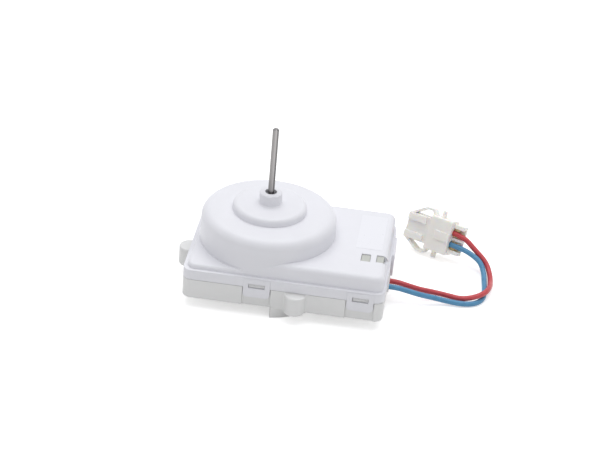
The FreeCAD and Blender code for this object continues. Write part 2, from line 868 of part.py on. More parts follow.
def circuit_board():
    """Board with the stator's hole, and a notch for the leads and the deck's posts."""
    board = plate(board_left, board_right, -board_half_depth, board_half_depth,
                  board_bottom, board_top, board_corner)
    margin = board_notch_margin
    low_edge = windows_front - margin
    left_edge = min(solder_block_front, deck_windows[0][0] - deck_windows[0][2] / 2 - margin)
    board = board.cut(box(left_edge, board_right + 1, low_edge, red_lead_y + solder_block_rim + margin,
                          board_bottom - 1, board_top + 1))
    board = board.cut(box(solder_block_back, solder_block_front + 1, blue_lead_y - solder_block_rim,
                          red_lead_y + solder_block_rim, board_bottom - 1, board_top + 1))
    board = board.cut(rod(board_hole_radius, board_bottom - 1, board_top + 1))
    for x, y in standoff_places:
        board = board.cut(rod(screw_radius, board_bottom - 1, board_top + 1, x, y))
    return board


def board_screws():
    """Four slotted screws."""
    screws = []
    for x, y in standoff_places:
        shank = rod(screw_radius, board_top - screw_length, board_top, x, y)
        head = rod(screw_head_radius, board_top, board_top + screw_head_height, x, y)
        head = head.makeFillet(screw_head_round, edges_at(head, board_top + screw_head_height))
        slot = box(x - screw_head_radius - 1, x + screw_head_radius + 1,
                   y - screw_slot_width / 2, y + screw_slot_width / 2,
                   board_top + screw_head_height - screw_slot_depth, board_top + screw_head_height + 1)
        screws.append(shank.fuse(head).cut(slot))
    return Part.makeCompound(screws)


def electrolytic_capacitor():
    x, y = board_right - capacitor_inset[0], board_half_depth - capacitor_inset[1]
    r, g = capacitor_radius, capacitor_groove
    z0, z1 = board_top, board_top + capacitor_height
    can = turned(profile(
        (0, z0), (r - g, z0), (r, z0 + g), (r, z0 + 3 * g), (r - g, z0 + 4 * g), (r, z0 + 5 * g),
        (r, z1 - g), (r - g, z1), (0, z1),
    ))
    can.translate(vector(x, y, 0))
    return can


def choke_coil():
    """Bobbin with two flanges."""
    x, y = board_right - choke_inset[0], board_half_depth - choke_inset[1]
    r, f, g = choke_radius, choke_flange, choke_winding_inset
    z0, z1 = board_top, board_top + choke_height
    bobbin = turned(profile(
        (0, z0), (r, z0), (r, z0 + f), (r - g, z0 + f), (r - g, z1 - f), (r, z1 - f), (r, z1), (0, z1),
    ))
    bobbin.translate(vector(x, y, 0))
    return bobbin


def driver_chip():
    """Flat chip with four pins along each side."""
    x, y = board_right - driver_inset[0], driver_inset[1] - board_half_depth
    length, width, height = driver_size
    z0 = board_top
    body = box(x - length / 2, x + length / 2, y - width / 2, y + width / 2, z0, z0 + height)
    for i in range(driver_pins_per_side):
        pin_left = x + (i - (driver_pins_per_side - 1) / 2) * driver_pin_pitch - driver_pin_width / 2
        body = body.fuse(box(pin_left, pin_left + driver_pin_width, y - width / 2 - driver_foot,
                             y + width / 2 + driver_foot, z0, z0 + height / 3))
    return body


def hall_sensor():
    """Sensor that stands on the board under the magnet's edge."""
    thickness, width = hall_size
    middle = cup_inside - magnet_thickness / 2
    sensor = box(middle - thickness / 2, middle + thickness / 2, -width / 2, width / 2,
                 board_top, cup_bottom - hall_below_rim)
    sensor.rotate(vector(0, 0, 0), vector(0, 0, 1), hall_angle)
    return sensor


def rating_label():
    """Blank sticker on the electronics deck."""
    return plate(label_left, label_left + label_width, label_front, label_back,
                 high_deck, high_deck + label_thickness, label_corner_radius)


def plug_lean():
    """Lean at which the plug's lower peg and lower ear both touch the ground, in radians."""
    return math.atan2(ear_width / 2 - peg_radius, peg_reach - ear_reach)


def plug_placement():
    """Where the plug lies: its frame's x, y and z directions and its wire face's centre."""
    heading = math.radians(plug_heading)
    lean = plug_lean()
    forward = vector(math.cos(heading), math.sin(heading), 0)
    aside = vector(-math.sin(heading), math.cos(heading), 0)
    down = aside * math.cos(lean) + vector(0, 0, -math.sin(lean))
    out = forward.cross(down)
    height = (plug_width / 2 + peg_reach) * math.sin(lean) + peg_radius * math.cos(lean)
    spot = vector(plug_place[0], plug_place[1], height)
    return FreeCAD.Placement(spot, FreeCAD.Rotation(forward, down, out, "XYZ"))


def ear(side):
    """Bowed latch strip from the body's side to the mating end's corner. side is 1 or -1."""
    root = plug_width / 2
    tip = plug_hood_width / 2
    inside = tip - ear_thickness
    crest = root + ear_reach
    end = plug_body_length + plug_hood_length - ear_end_margin
    points = ((end, inside), (end, tip), (ear_flat_end, crest), (ear_flat_start, crest), (ear_start, root),
              (ear_start, inside))
    wire = Part.makePolygon([vector(x, y, 0) for x, y in points + points[:1]])
    outside = Part.Face(wire).extrude(vector(0, 0, ear_width))
    opening = Part.Face(wire.makeOffset2D(-ear_thickness, 2)).extrude(vector(0, 0, ear_width))
    strip = outside.cut(opening)
    bends = [edge for edge in strip.Edges if edge.BoundBox.ZLength > ear_width / 2
             and abs(edge.BoundBox.YMax - crest) < 1e-3]
    strip = strip.makeFillet(ear_bend_radius, bends)
    strip.translate(vector(0, 0, -ear_width / 2))
    if side < 0:
        strip = strip.mirror(vector(0, 0, 0), vector(0, 1, 0))
    return strip


def connector_housing():
    """Nylon plug: body, mating hood with two sockets, bowed ears, pegs and open wire troughs."""
    half = plug_width / 2
    trough_half = half - plug_trough_inset
    back = -plug_thickness / 2
    face = plug_thickness / 2
    body = box(0, plug_body_length, -half, half, back, face)
    body = body.makeFillet(plug_edge_radius, [edge for edge in body.Edges if edge.BoundBox.XLength > 1])

    hood_end = plug_body_length + plug_hood_length
    hood_half = plug_hood_width / 2
    hood_back = back + plug_hood_inset
    hood_face = hood_back + plug_hood_thickness
    hood = box(plug_body_length - 1, hood_end, -hood_half, hood_half, hood_back, hood_face)
    pieces = [hood]
    for side in (1, -1):
        rail_side = side * (hood_half - plug_rail_inset - plug_rail_width / 2)
        pieces.append(box(plug_body_length + plug_rail_gap, hood_end,
                          rail_side - plug_rail_width / 2, rail_side + plug_rail_width / 2,
                          hood_face - plug_rail_root, hood_face + plug_rail_height))
        pieces.append(ear(side))
        pieces.append(Part.makeCylinder(peg_radius, half + peg_reach,
                                        vector(peg_place, 0, 0), vector(0, side, 0)))
        wall_edges = sorted((side * trough_half, side * (trough_half - plug_trough_wall)))
        pieces.append(box(-plug_trough_length, 1, *wall_edges, back, plug_trough_top))
    pieces.append(box(-plug_trough_length, 1, -plug_divider / 2, plug_divider / 2, back, 0))
    pieces.append(box(-plug_trough_length, 1, -trough_half, trough_half, back, back + plug_trough_floor))
    pieces.append(box(0, plug_pad_length, -plug_pad_width / 2, plug_pad_width / 2, 0, face + plug_pad_rise))
    housing = body.fuse(pieces)
    socket_middle = hood_back + plug_hood_thickness / 2
    for y in (-plug_pitch / 2, plug_pitch / 2):
        housing = housing.cut(box(hood_end - plug_socket_depth, hood_end + 1, y - plug_socket_width / 2,
                                  y + plug_socket_width / 2, socket_middle - plug_socket_height / 2,
                                  socket_middle + plug_socket_height / 2))
        housing = housing.cut(rod_along_x(contact_radius, -1, hood_end, y, 0))
        housing = housing.cut(rod_along_x(lead_radius + plug_cavity_gap, -1, plug_cavity_depth, y, 0))
    housing = housing.removeSplitter()
    housing.Placement = plug_placement()
    return housing


def lead_terminals():
    """Two crimped contacts: a saddle under the sleeve, a barrel round it, and a pin to the socket."""
    outer = lead_radius + crimp_wall
    crimp_end = crimp_start + crimp_length
    pin_end = plug_body_length + plug_hood_length - contact_inset
    wing_edge = plug_width / 2 - plug_trough_inset - plug_trough_wall - saddle_wing_gap
    contacts = []
    for side in (-1, 1):
        y = side * plug_pitch / 2
        saddle = rod_along_x(outer, -saddle_length, crimp_end, y, 0)
        saddle = saddle.cut(box(-saddle_length - 1, crimp_start, y - outer - 1, y + outer + 1,
                                -saddle_drop, outer + 1))
        wing_sides = sorted((side * wing_edge, y + side * (lead_radius + saddle_wing_gap)))
        wing = box(-saddle_length, -saddle_wing_gap, *wing_sides,
                   -saddle_drop - saddle_wing_thickness, -saddle_drop)
        contact = saddle.fuse([wing, rod_along_x(contact_radius, crimp_end - 1, pin_end, y, 0)])
        contact = contact.cut(rod_along_x(lead_radius, -saddle_length - 1, lead_entry, y, 0))
        contacts.append(contact.removeSplitter())
    group = Part.makeCompound(contacts)
    group.Placement = plug_placement()
    return group


def lead_path(start, route, end):
    """Straight runs joined by the largest tangent arcs that they allow. Returns the wire and its radii."""
    points = [start] + [vector(*spot) for spot in route] + [end]
    edges = []
    radii = []
    at = points[0]
    for before, corner, after in zip(points, points[1:], points[2:]):
        back = before - corner
        ahead = after - corner
        trim = 0.45 * min(back.Length, ahead.Length)
        turn = math.pi - back.getAngle(ahead)
        radius = trim / math.tan(turn / 2)
        back.normalize()
        ahead.normalize()
        first = corner + back * trim
        last = corner + ahead * trim
        inward = back + ahead
        inward.normalize()
        middle = corner + inward * (math.hypot(trim, radius) - radius)
        edges.append(Part.LineSegment(at, first).toShape())
        edges.append(Part.Arc(first, middle, last).toShape())
        radii.append(radius)
        at = last
    edges.append(Part.LineSegment(at, points[-1]).toShape())
    return Part.Wire(edges), radii


def lead(lead_y, plug_y, route):
    """A lead from the grommet's outer face to its end in the plug's cavity."""
    placement = plug_placement()
    start = vector(lead_start_x, lead_y, lead_height)
    end = placement.multVec(vector(lead_entry, plug_y, 0))
    before_end = placement.multVec(vector(lead_entry - lead_last_run, plug_y, 0))
    path, radii = lead_path(start, route + (tuple(before_end),), end)
    first_edge = path.Edges[0]
    section = Part.Wire(Part.makeCircle(lead_radius, start, first_edge.tangentAt(first_edge.FirstParameter)))
    tube = path.makePipeShell([section], True, True)
    exact = math.pi * lead_radius ** 2 * path.Length
    print("lead %.1f mm long, radii %s, volume is %.4f of section by length"
          % (path.Length, [round(value, 1) for value in radii], tube.Volume / exact))
    return tube


def red_lead():
    return lead(red_lead_y, -plug_pitch / 2, red_route)


def blue_lead():
    return lead(blue_lead_y, plug_pitch / 2, blue_route)


sub_parts = {
    "top_cover": top_cover,
    "base_tray": base_tray,
    "rating_label": rating_label,
    "lead_grommet": grommet,
    "shaft": shaft,
    "rotor_hub": rotor_hub,
    "rotor_cup": rotor_cup,
    "ring_magnet": ring_magnet,
    "retaining_clip": retaining_clip,
    "spacer_washer": spacer_washer,
    "bearing_tube": bearing_tube,
    "upper_bush": lambda: bush(upper_bush_top - bush_length),
    "lower_bush": lambda: bush(lower_bush_bottom),
    "thrust_washer": thrust_washer,
    "stator_core": stator_core,
    "upper_insulator": upper_insulator,
    "lower_insulator": lower_insulator,
    "stator_coils": stator_coils,
    "circuit_board": circuit_board,
    "board_screws": board_screws,
    "electrolytic_capacitor": electrolytic_capacitor,
    "choke_coil": choke_coil,
    "driver_chip": driver_chip,
    "hall_sensor": hall_sensor,
    "solder_block": solder_block,
    "red_lead_tail": red_lead_tail,
    "blue_lead_tail": blue_lead_tail,
    "red_lead": red_lead,
    "blue_lead": blue_lead,
    "connector_housing": connector_housing,
    "lead_terminals": lead_terminals,
}

os.makedirs("parts", exist_ok=True)
for name, make in sub_parts.items():
    shape = make()
    if not shape.isValid():
        print("not valid:", name)
    print("%-24s solids %d volume %9.1f" % (name, len(shape.Solids), shape.Volume))
    shape.exportStep("parts/" + name + ".step")
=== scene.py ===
import bpy
import math
from mathutils import Matrix, Vector


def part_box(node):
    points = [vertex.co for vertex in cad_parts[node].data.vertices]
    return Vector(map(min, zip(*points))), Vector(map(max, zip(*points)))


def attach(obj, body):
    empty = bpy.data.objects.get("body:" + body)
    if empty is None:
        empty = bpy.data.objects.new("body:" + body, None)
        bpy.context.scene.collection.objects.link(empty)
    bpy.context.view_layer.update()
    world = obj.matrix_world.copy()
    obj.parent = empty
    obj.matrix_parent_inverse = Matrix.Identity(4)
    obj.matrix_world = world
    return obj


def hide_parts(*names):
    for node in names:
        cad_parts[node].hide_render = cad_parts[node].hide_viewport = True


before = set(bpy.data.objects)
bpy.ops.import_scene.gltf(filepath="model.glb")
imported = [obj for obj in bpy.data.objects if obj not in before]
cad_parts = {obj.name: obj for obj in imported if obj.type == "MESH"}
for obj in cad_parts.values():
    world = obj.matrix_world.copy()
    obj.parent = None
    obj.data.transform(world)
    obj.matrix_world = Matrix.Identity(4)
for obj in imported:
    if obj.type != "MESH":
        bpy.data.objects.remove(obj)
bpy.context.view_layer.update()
print("frame loaded")

# camera, fitted to the photograph: angles in degrees, distances in metres, lens and sensor in mm
cameraSetup = {
    "yaw": 4.888,
    "elevation": 29.917,
    "roll": 5.017,
    "distance": 1.007466,
    "slideRight": -0.01762,
    "slideUp": -0.022594,
    "footHeight": 0.005,
    "lens": 120.0,
    "sensor": 36.0,
    "farthest": 20.0,
}


def placeCamera(setup):
    yaw = math.radians(setup["yaw"])
    lift = math.radians(setup["elevation"])
    roll = math.radians(setup["roll"])
    level = math.cos(lift)
    back = Vector((math.sin(yaw) * level, -math.cos(yaw) * level, math.sin(lift)))
    right = Vector((math.cos(yaw), math.sin(yaw), 0))
    up = back.cross(right)
    # the photograph is turned a little about the line of sight
    turnedRight = right * math.cos(roll) + up * math.sin(roll)
    turnedUp = up * math.cos(roll) - right * math.sin(roll)
    spot = back * setup["distance"]
    spot = spot - turnedRight * setup["slideRight"] - turnedUp * setup["slideUp"]
    spot.z += setup["footHeight"]

    data = bpy.data.cameras.new("photoCamera")
    data.lens = setup["lens"]
    data.sensor_width = setup["sensor"]
    data.sensor_fit = "HORIZONTAL"
    data.clip_end = setup["farthest"]
    camera = bpy.data.objects.new("photoCamera", data)
    bpy.context.scene.collection.objects.link(camera)
    facing = Matrix((turnedRight, turnedUp, back)).transposed().to_4x4()
    camera.matrix_world = Matrix.Translation(spot) @ facing
    bpy.context.scene.camera = camera


placeCamera(cameraSetup)
print("camera placed")

# what all surfaces share
texturing = {
    "noiseRoughness": 0.55,
    "wavePitch": 0.314,  # metres from band to band at a scale of 1
    "edgeSamples": 6,
}


# small helpers for building surfaces, with sizes and heights in metres
def startSurface(name):
    material = bpy.data.materials.new(name)
    material.use_nodes = True
    tree = material.node_tree
    shader = tree.nodes["Principled BSDF"]
    place = tree.nodes.new("ShaderNodeTexCoord")
    return {"material": material, "tree": tree, "shader": shader, "place": place.outputs["Object"]}


def link(surface, start, end):
    surface["tree"].links.new(start, end)


def setFinish(surface, socket, value):
    # a value that is the same all over the surface
    surface["shader"].inputs[socket].default_value = value


def stretched(surface, scale):
    # the frame's own coordinates, stretched before a texture reads them
    mapping = surface["tree"].nodes.new("ShaderNodeMapping")
    mapping.inputs["Scale"].default_value = scale
    link(surface, surface["place"], mapping.inputs["Vector"])
    return mapping.outputs["Vector"]


def axes(surface):
    spot = surface["tree"].nodes.new("ShaderNodeSeparateXYZ")
    link(surface, surface["place"], spot.inputs["Vector"])
    return spot.outputs


def cloud(surface, size, detail, place=None):
    # soft noise whose blotches are about size metres across
    noise = surface["tree"].nodes.new("ShaderNodeTexNoise")
    noise.inputs["Scale"].default_value = 1.0 / size
    noise.inputs["Detail"].default_value = detail
    noise.inputs["Roughness"].default_value = texturing["noiseRoughness"]
    link(surface, place or surface["place"], noise.inputs["Vector"])
    return noise.outputs["Fac"]


def cells(surface, size):
    spots = surface["tree"].nodes.new("ShaderNodeTexVoronoi")
    spots.inputs["Scale"].default_value = 1.0 / size
    link(surface, surface["place"], spots.inputs["Vector"])
    return spots.outputs["Distance"]


def bands(surface, size, direction, waver=0.0):
    # even lines, size metres from one to the next
    wave = surface["tree"].nodes.new("ShaderNodeTexWave")
    wave.wave_type = "BANDS"
    wave.bands_direction = direction
    wave.inputs["Scale"].default_value = texturing["wavePitch"] / size
    wave.inputs["Distortion"].default_value = waver
    link(surface, surface["place"], wave.inputs["Vector"])
    return wave.outputs["Fac"]


def ranged(surface, value, low, high, fromLow=0.0, fromHigh=1.0):
    node = surface["tree"].nodes.new("ShaderNodeMapRange")
    node.inputs["From Min"].default_value = fromLow
    node.inputs["From Max"].default_value = fromHigh
    node.inputs["To Min"].default_value = low
    node.inputs["To Max"].default_value = high
    link(surface, value, node.inputs["Value"])
    return node.outputs["Result"]


def mixed(surface, value, second):
    # gives the socket for the first colour, and the result
    mix = surface["tree"].nodes.new("ShaderNodeMix")
    mix.data_type = "RGBA"
    colours = [socket for socket in mix.inputs if socket.type == "RGBA"]
    colours[1].default_value = (*second, 1)
    link(surface, value, mix.inputs["Factor"])
    return colours[0], [socket for socket in mix.outputs if socket.type == "RGBA"][0]


def tinted(surface, value, first, second):
    under, result = mixed(surface, value, second)
    under.default_value = (*first, 1)
    return result


def overlaid(surface, value, earlier, second):
    # a second colour laid over an earlier result
    under, result = mixed(surface, value, second)
    link(surface, earlier, under)
    return result


def paint(surface, colour):
    link(surface, colour, surface["shader"].inputs["Base Color"])


def polish(surface, value, low, high):
    link(surface, ranged(surface, value, low, high), surface["shader"].inputs["Roughness"])


def relief(surface, layers, edgeRadius=0.0):
    # bumps stacked from coarse to fine, each with its height and strength
    normal = None
    if edgeRadius:
        # the edges of moulded pieces are never quite sharp
        edge = surface["tree"].nodes.new("ShaderNodeBevel")
        edge.samples = texturing["edgeSamples"]
        edge.inputs["Radius"].default_value = edgeRadius
        normal = edge.outputs["Normal"]
    for value, (postShadeMask, strength) in layers:
        bump = surface["tree"].nodes.new("ShaderNodeBump")
        bump.inputs["Distance"].default_value = postShadeMask
        bump.inputs["Strength"].default_value = strength
        link(surface, value, bump.inputs["Height"])
        if normal is not None:
            link(surface, normal, bump.inputs["Normal"])
        normal = bump.outputs["Normal"]
    link(surface, normal, surface["shader"].inputs["Normal"])


def dress(surface, *nodeNames):
    for name in nodeNames:
        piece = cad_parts[name]
        piece.data.materials.clear()
        piece.data.materials.append(surface["material"])


# moulded plastics of the housing, the plug and the inner formers
moulding = {
    "mottle": (0.3, 0.7),  # noise levels between which the colour turns to its shade
    "flowShare": 0.6,  # size of the flow marks against the blotches
    "flowStrength": 0.35,
    "sparkStrength": 0.5,
    "refraction": 1.49,
    "scatterRadius": (1.0, 0.8, 0.6),
    "scatterDepth": 0.0016,
}
coverPlastic = {
    "name": "coverPlastic",
    "colour": (0.834, 0.834, 0.868),
    "shade": (0.811, 0.811, 0.844),
    "roughness": (0.36, 0.5),
    "blotch": 0.018,
    "sparkGrain": 0.00035,
    "sparkHeight": 0.000012,
    "flowHeight": 0.00005,
    "edgeRadius": 0.00022,
    "scatter": 0.0,
}
trayPlastic = {
    "name": "trayPlastic",
    "colour": (0.815, 0.815, 0.805),
    "shade": (0.785, 0.787, 0.775),
    "roughness": (0.4, 0.54),
    "blotch": 0.014,
    "sparkGrain": 0.0004,
    "sparkHeight": 0.000014,
    "flowHeight": 0.00005,
    "edgeRadius": 0.00022,
    "scatter": 0.0,
    # painted shade on the posts in the deck's windows, above this height
    "posts": {"above": 0.022, "fade": 0.001, "colour": (0.54, 0.55, 0.505)},
}
plugNylon = {
    "name": "plugNylon",
    "colour": (0.985, 0.95, 0.895),
    "shade": (0.97, 0.925, 0.86),
    "roughness": (0.32, 0.46),
    "blotch": 0.005,
    "sparkGrain": 0.00022,
    "sparkHeight": 0.000008,
    "flowHeight": 0.00003,
    "edgeRadius": 0.0002,
    "scatter": 0.65,
}
formerPlastic = {
    "name": "formerPlastic",
    "colour": (0.78, 0.75, 0.66),
    "shade": (0.73, 0.69, 0.59),
    "roughness": (0.42, 0.58),
    "blotch": 0.006,
    "sparkGrain": 0.0003,
    "sparkHeight": 0.00001,
    "flowHeight": 0.00003,
    "edgeRadius": 0.00015,
    "scatter": 0.0,
}
washerNylon = {
    "name": "washerNylon",
    "colour": (0.84, 0.82, 0.74),
    "shade": (0.79, 0.76, 0.66),
    "roughness": (0.35, 0.5),
    "blotch": 0.002,
    "sparkGrain": 0.0001,
    "sparkHeight": 0.000005,
    "flowHeight": 0.00001,
    "edgeRadius": 0.0001,
    "scatter": 0.1,
}
blackResin = {
    "name": "blackResin",
    "colour": (0.030, 0.030, 0.032),
    "shade": (0.045, 0.044, 0.043),
    "roughness": (0.45, 0.65),
    "blotch": 0.003,
    "sparkGrain": 0.00012,
    "sparkHeight": 0.000008,
    "flowHeight": 0.00001,
    "edgeRadius": 0.0001,
    "scatter": 0.0,
}


def mouldedPlastic(look):
    surface = startSurface(look["name"])
    blotches = cloud(surface, look["blotch"], detail=4)
    grain = cloud(surface, look["sparkGrain"], detail=2)
    flow = cloud(surface, look["blotch"] * moulding["flowShare"], detail=1)
    mottle = ranged(surface, blotches, 0, 1, *moulding["mottle"])
    base = tinted(surface, mottle, look["colour"], look["shade"])
    if "posts" in look:
        # the posts that close the deck's windows sit a little below it, and their darker
        # grey-green is painted shade of that recess
        posts = look["posts"]
        above = posts["above"]
        postShadeMask = ranged(surface, axes(surface)["Z"], 0, 1, above, above + posts["fade"])
        base = overlaid(surface, postShadeMask, base, posts["colour"])
    paint(surface, base)
    polish(surface, blotches, *look["roughness"])
    flowBump = (look["flowHeight"], moulding["flowStrength"])
    sparkBump = (look["sparkHeight"], moulding["sparkStrength"])
    relief(surface, [(flow, flowBump), (grain, sparkBump)], look["edgeRadius"])
    setFinish(surface, "IOR", moulding["refraction"])
    if look["scatter"]:
        setFinish(surface, "Subsurface Weight", look["scatter"])
        setFinish(surface, "Subsurface Radius", moulding["scatterRadius"])
        setFinish(surface, "Subsurface Scale", moulding["scatterDepth"])
    return surface


dress(mouldedPlastic(coverPlastic), "top_cover")
dress(mouldedPlastic(trayPlastic), "base_tray", "lead_grommet")
dress(mouldedPlastic(plugNylon), "connector_housing")
dress(mouldedPlastic(formerPlastic), "upper_insulator", "lower_insulator", "solder_block")
dress(mouldedPlastic(washerNylon), "spacer_washer", "thrust_washer")
dress(mouldedPlastic(blackResin), "choke_coil", "driver_chip", "hall_sensor")
print("plastics made")

# the sticker on the deck: plain film, a touch glossier and whiter than the cover
labelFilm = {
    "colour": (0.868, 0.87, 0.905),
    "shade": (0.848, 0.85, 0.885),
    "roughness": (0.24, 0.34),
    "fibre": 0.0009,
    "fibreStretch": (1, 0.35, 1),
    "fibreBump": (0.000004, 0.4),
    "ripple": 0.006,
    "rippleBump": (0.00002, 0.4),
}


def stickerFilm(look):
    surface = startSurface("labelFilm")
    fibre = cloud(surface, look["fibre"], detail=5, place=stretched(surface, look["fibreStretch"]))
    ripple = cloud(surface, look["ripple"], detail=2)
    paint(surface, tinted(surface, fibre, look["colour"], look["shade"]))
    polish(surface, fibre, *look["roughness"])
    relief(surface, [(ripple, look["rippleBump"]), (fibre, look["fibreBump"])])
    return surface


dress(stickerFilm(labelFilm), "rating_label")
print("sticker made")

# insulation of the leads and of their tails inside the housing
sleeving = {
    "streak": 0.0035,
    "streakSpan": (0.3, 0.7),
    "streakBump": (0.00004, 0.35),
    "skin": 0.00025,
    "skinBump": (0.000006, 0.5),
    "roughness": (0.3, 0.42),
    "specular": 0.42,
}
redSleeve = {"name": "redSleeve", "colour": (0.60, 0.075, 0.085), "shade": (0.52, 0.055, 0.065)}
blueSleeve = {"name": "blueSleeve", "colour": (0.10, 0.30, 0.50), "shade": (0.08, 0.255, 0.44)}


def softSleeve(look):
    surface = startSurface(look["name"])
    streaks = cloud(surface, sleeving["streak"], detail=4)
    skin = cloud(surface, sleeving["skin"], detail=2)
    fade = ranged(surface, streaks, 0, 1, *sleeving["streakSpan"])
    paint(surface, tinted(surface, fade, look["colour"], look["shade"]))
    polish(surface, streaks, *sleeving["roughness"])
    relief(surface, [(streaks, sleeving["streakBump"]), (skin, sleeving["skinBump"])])
    setFinish(surface, "Specular IOR Level", sleeving["specular"])
    return surface


redSurface = softSleeve(redSleeve)
blueSurface = softSleeve(blueSleeve)
dress(redSurface, "red_lead_tail")
dress(blueSurface, "blue_lead_tail")
print("sleeves made")

# the shaft: ground round, with long streaks of differing tone and bands of painted sheen all the
# way round it
groundSteel = {
    # painted sheen: the tone at each place round the shaft, standing in for reflections
    "bands": ((0.0, 0.20), (0.2, 0.27), (0.31, 0.42), (0.37, 0.15), (0.5, 0.22), (0.58, 0.40),
              (0.66, 0.28), (0.76, 0.42), (0.84, 0.18), (0.93, 0.34), (1.0, 0.20)),
    "warmth": (1.0, 0.965, 0.955),
    "roughness": (0.24, 0.34),
    "streak": 0.0005,
    "streakLength": 40.0,  # in streak widths
    "streakBump": (0.000006, 0.4),
    "stain": (0.22, 0.21, 0.205),
    "stainSpan": (0.5, 0.75),
    "stainCover": 0.45,
    "grind": 0.00008,
    "grindWaver": 0.4,
    "grindBump": (0.000002, 0.4),
}


def groundRod(look):
    surface = startSurface("groundSteel")
    tree = surface["tree"]
    setFinish(surface, "Metallic", 1.0)
    spot = axes(surface)
    angle = tree.nodes.new("ShaderNodeMath")
    angle.operation = "ARCTAN2"
    link(surface, spot["Y"], angle.inputs[0])
    link(surface, spot["X"], angle.inputs[1])
    around = ranged(surface, angle.outputs[0], 0, 1, -math.pi, math.pi)
    # the ramp paints the bands of painted sheen round the shaft
    paintedSheen = tree.nodes.new("ShaderNodeValToRGB")
    ramp = paintedSheen.color_ramp.elements
    while len(ramp) < len(look["bands"]):
        ramp.new(0.5)  # moved to its place below
    for element, (place, level) in zip(ramp, look["bands"]):
        element.position = place
        element.color = (*(level * part for part in look["warmth"]), 1)
    link(surface, around, paintedSheen.inputs["Fac"])
    along = stretched(surface, (1, 1, 1 / look["streakLength"]))
    streaks = cloud(surface, look["streak"], detail=3, place=along)
    grind = bands(surface, look["grind"], "Z", look["grindWaver"])
    stains = ranged(surface, streaks, 0, look["stainCover"], *look["stainSpan"])
    paint(surface, overlaid(surface, stains, paintedSheen.outputs["Color"], look["stain"]))
    polish(surface, streaks, *look["roughness"])
    relief(surface, [(streaks, look["streakBump"]), (grind, look["grindBump"])])
    return surface


dress(groundRod(groundSteel), "shaft")
print("shaft finished")

# drawn and turned metals, with the lines that the tool left and a little tarnish
metalwork = {
    "waver": 1.5,
    "markStrength": 0.5,
    "tarnish": 0.004,
    "tarnishSpan": (0.35, 0.7),
    "tarnishBump": (0.00001, 0.3),
}
drawnSteel = {
    "name": "drawnSteel",
    "colour": (0.56, 0.57, 0.59),
    "shade": (0.44, 0.45, 0.47),
    "roughness": (0.28, 0.48),
    "line": 0.0003,
    "lineHeight": 0.000008,
    "across": "Z",
}
screwSteel = {
    "name": "screwSteel",
    "colour": (0.52, 0.52, 0.54),
    "shade": (0.40, 0.40, 0.42),
    "roughness": (0.25, 0.42),
    "line": 0.0001,
    "lineHeight": 0.000004,
    "across": "Z",
}
turnedBrass = {
    "name": "turnedBrass",
    "colour": (0.72, 0.54, 0.24),
    "shade": (0.60, 0.43, 0.17),
    "roughness": (0.2, 0.36),
    "line": 0.00012,
    "lineHeight": 0.000006,
    "across": "Z",
}
crimpBrass = {
    "name": "crimpBrass",
    "colour": (0.60, 0.46, 0.25),
    "shade": (0.47, 0.35, 0.18),
    "roughness": (0.28, 0.44),
    "line": 0.0002,
    "lineHeight": 0.000004,
    "across": "X",
}


def toolMarkedMetal(look):
    surface = startSurface(look["name"])
    setFinish(surface, "Metallic", 1.0)
    marks = bands(surface, look["line"], look["across"], metalwork["waver"])
    tarnish = cloud(surface, metalwork["tarnish"], detail=5)
    dulled = ranged(surface, tarnish, 0, 1, *metalwork["tarnishSpan"])
    paint(surface, tinted(surface, dulled, look["colour"], look["shade"]))
    polish(surface, tarnish, *look["roughness"])
    markBump = (look["lineHeight"], metalwork["markStrength"])
    relief(surface, [(marks, markBump), (tarnish, metalwork["tarnishBump"])])
    return surface


dress(toolMarkedMetal(drawnSteel), "rotor_cup")
dress(toolMarkedMetal(screwSteel), "board_screws", "retaining_clip")
dress(toolMarkedMetal(turnedBrass), "rotor_hub", "bearing_tube")
dress(toolMarkedMetal(crimpBrass), "lead_terminals")

# pressed from powder: the sintered bushes and the magnet
pressing = {
    "blotch": 0.003,
    "mottle": (0.3, 0.7),
    "poreCover": 0.5,
    "poreWidth": 0.25,  # of a grain
    "poreStrength": 0.6,
}
sinteredBronze = {
    "name": "sinteredBronze",
    "colour": (0.50, 0.36, 0.18),
    "shade": (0.30, 0.21, 0.10),
    "roughness": (0.38, 0.6),
    "grain": 0.00018,
    "poreDepth": 0.00002,
    "metal": 1.0,
}
ferriteBlack = {
    "name": "ferriteBlack",
    "colour": (0.055, 0.055, 0.058),
    "shade": (0.085, 0.083, 0.082),
    "roughness": (0.42, 0.62),
    "grain": 0.0003,
    "poreDepth": 0.00002,
    "metal": 0.0,
}


def pressedPowder(look):
    surface = startSurface(look["name"])
    setFinish(surface, "Metallic", look["metal"])
    grains = cells(surface, look["grain"])
    blotches = cloud(surface, pressing["blotch"], detail=4)
    mottle = ranged(surface, blotches, 0, 1, *pressing["mottle"])
    base = tinted(surface, mottle, look["colour"], look["shade"])
    pores = ranged(surface, grains, pressing["poreCover"], 0, 0, pressing["poreWidth"])
    paint(surface, overlaid(surface, pores, base, look["shade"]))
    polish(surface, blotches, *look["roughness"])
    relief(surface, [(grains, (look["poreDepth"], pressing["poreStrength"]))])
    return surface


dress(pressedPowder(sinteredBronze), "upper_bush", "lower_bush")
dress(pressedPowder(ferriteBlack), "ring_magnet")
print("metals finished")

# the stator's core: stamped sheets with dark gaps between them
laminations = {
    "colour": (0.40, 0.41, 0.43),
    "shade": (0.12, 0.12, 0.13),
    "metal": 0.85,
    "roughness": (0.38, 0.6),
    "sheet": 0.0005,
    "sheetBump": (0.00005, 0.6),
    "gapCover": 0.7,
    "gapLevel": 0.3,  # height of the wave at which a gap ends
    "stain": 0.003,
    "stainColour": (0.30, 0.29, 0.29),
}


